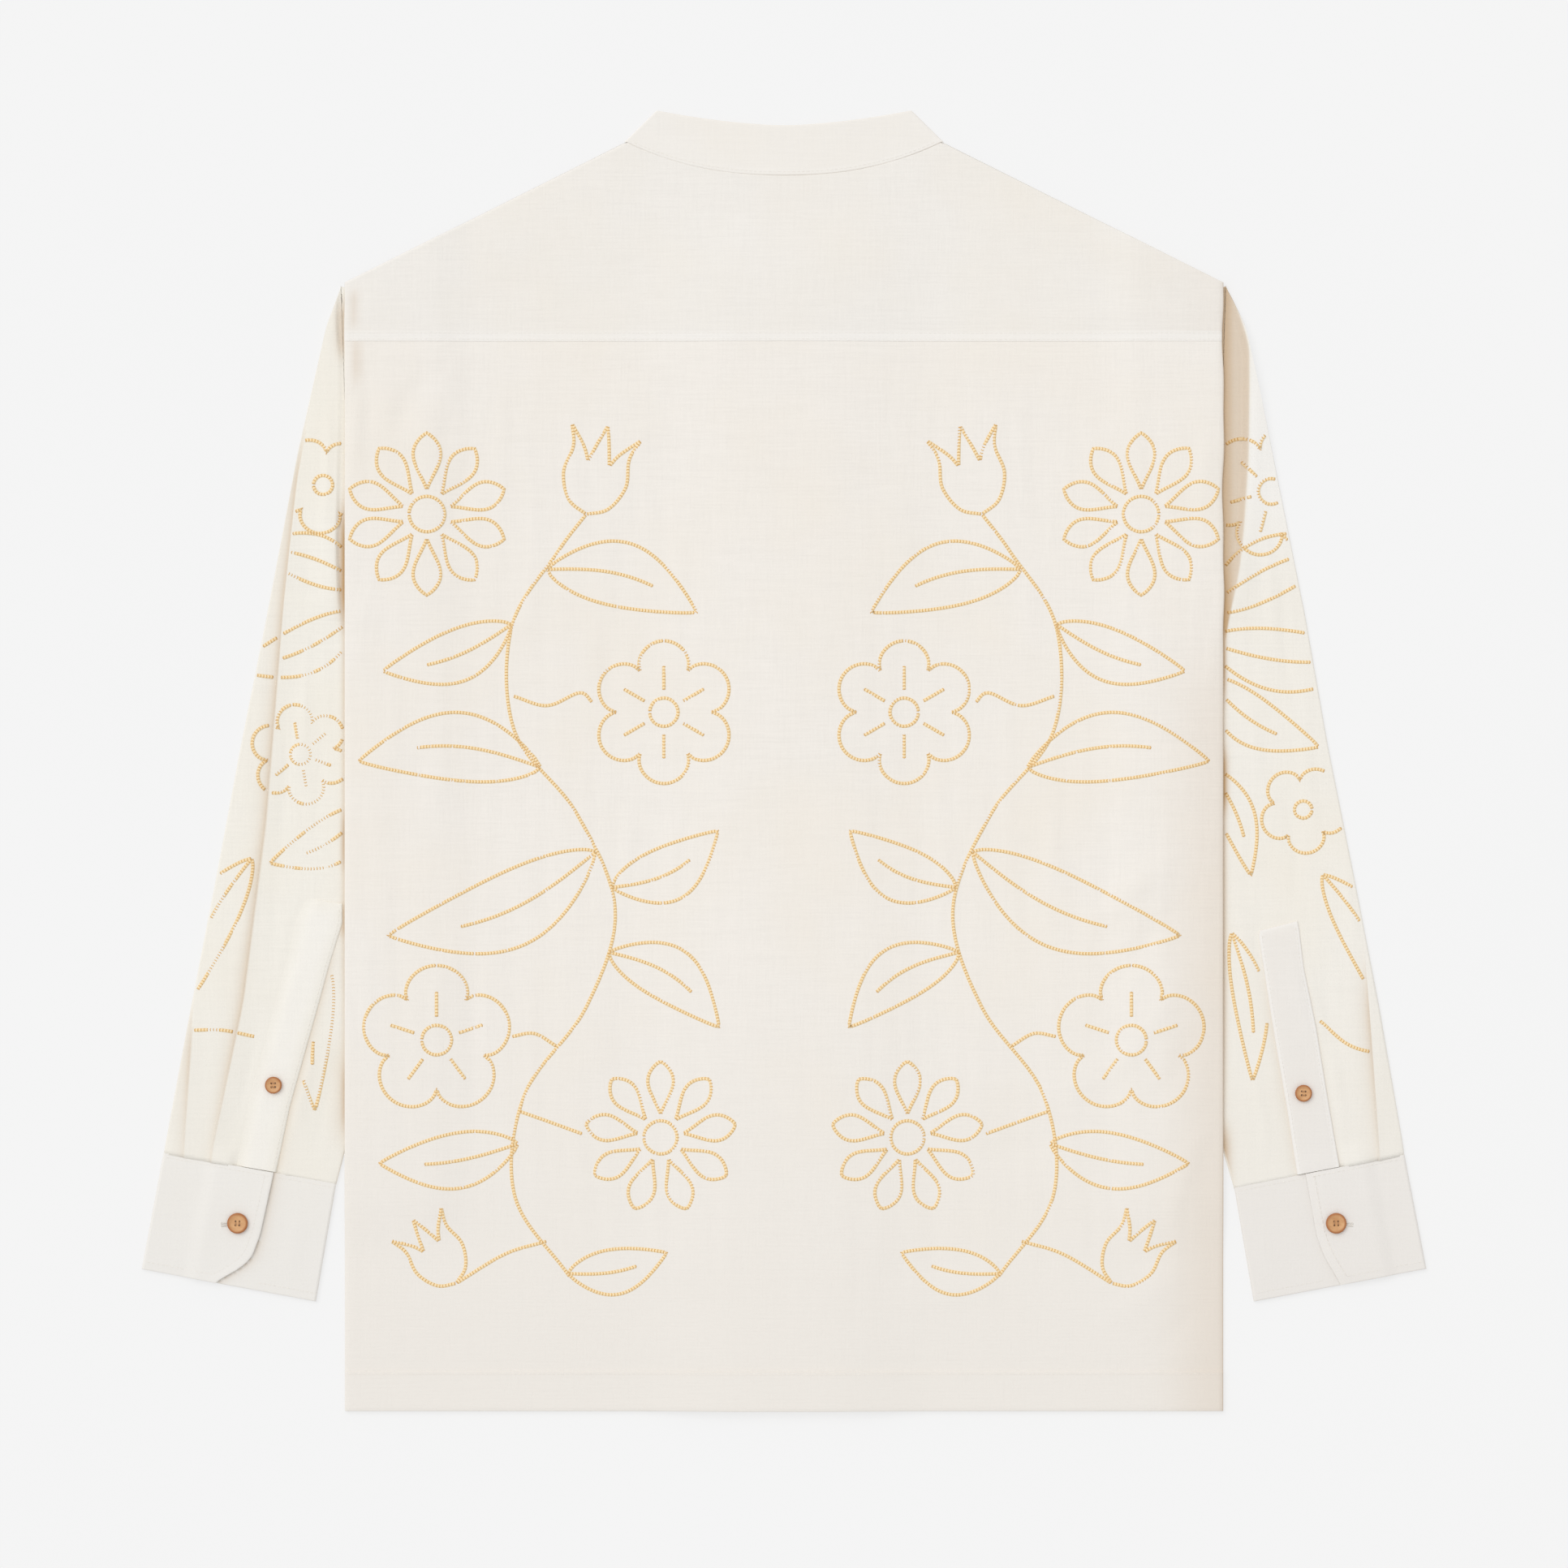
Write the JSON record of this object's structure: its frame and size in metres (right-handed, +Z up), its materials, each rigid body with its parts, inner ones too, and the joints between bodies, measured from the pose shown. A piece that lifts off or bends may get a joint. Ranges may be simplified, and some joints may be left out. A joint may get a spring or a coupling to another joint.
{
  "type": "linen shirt",
  "caption": "Boxy long-sleeved linen shirt with band collar, back yoke, buttoned cuffs and sleeve plackets, laid flat with its back up and its sleeves at its sides.",
  "frame": {"origin": "on the table, under the middle of the shirt's outline", "axes": "+Y along the shirt from hem to collar, +X across it to the wearer's right, +Z up from the table out of the back"},
  "size_m": [0.792, 0.8016, 0.0077],
  "materials": {
    "linen": "off-white plain-weave linen, matt, lightly creased",
    "linen_pressed": "off-white plain-weave linen, matt, interlined and pressed",
    "horn": "tan horn look, satin"
  },
  "bodies": {
    "root": {"back_yoke": "linen", "back_panel": "linen", "front_left": "linen", "front_right": "linen", "sleeve_left": "linen", "sleeve_right": "linen", "collar_band": "linen_pressed", "cuff_left": "linen_pressed", "cuff_right": "linen_pressed", "placket_left": "linen_pressed", "placket_right": "linen_pressed", "cuff_button_left": "horn", "cuff_button_right": "horn", "placket_button_left": "horn", "placket_button_right": "horn", "front_button_1": "horn", "front_button_2": "horn", "front_button_3": "horn", "front_button_4": "horn", "front_button_5": "horn", "front_button_6": "horn", "front_button_7": "horn"}
  },
  "joints": []
}
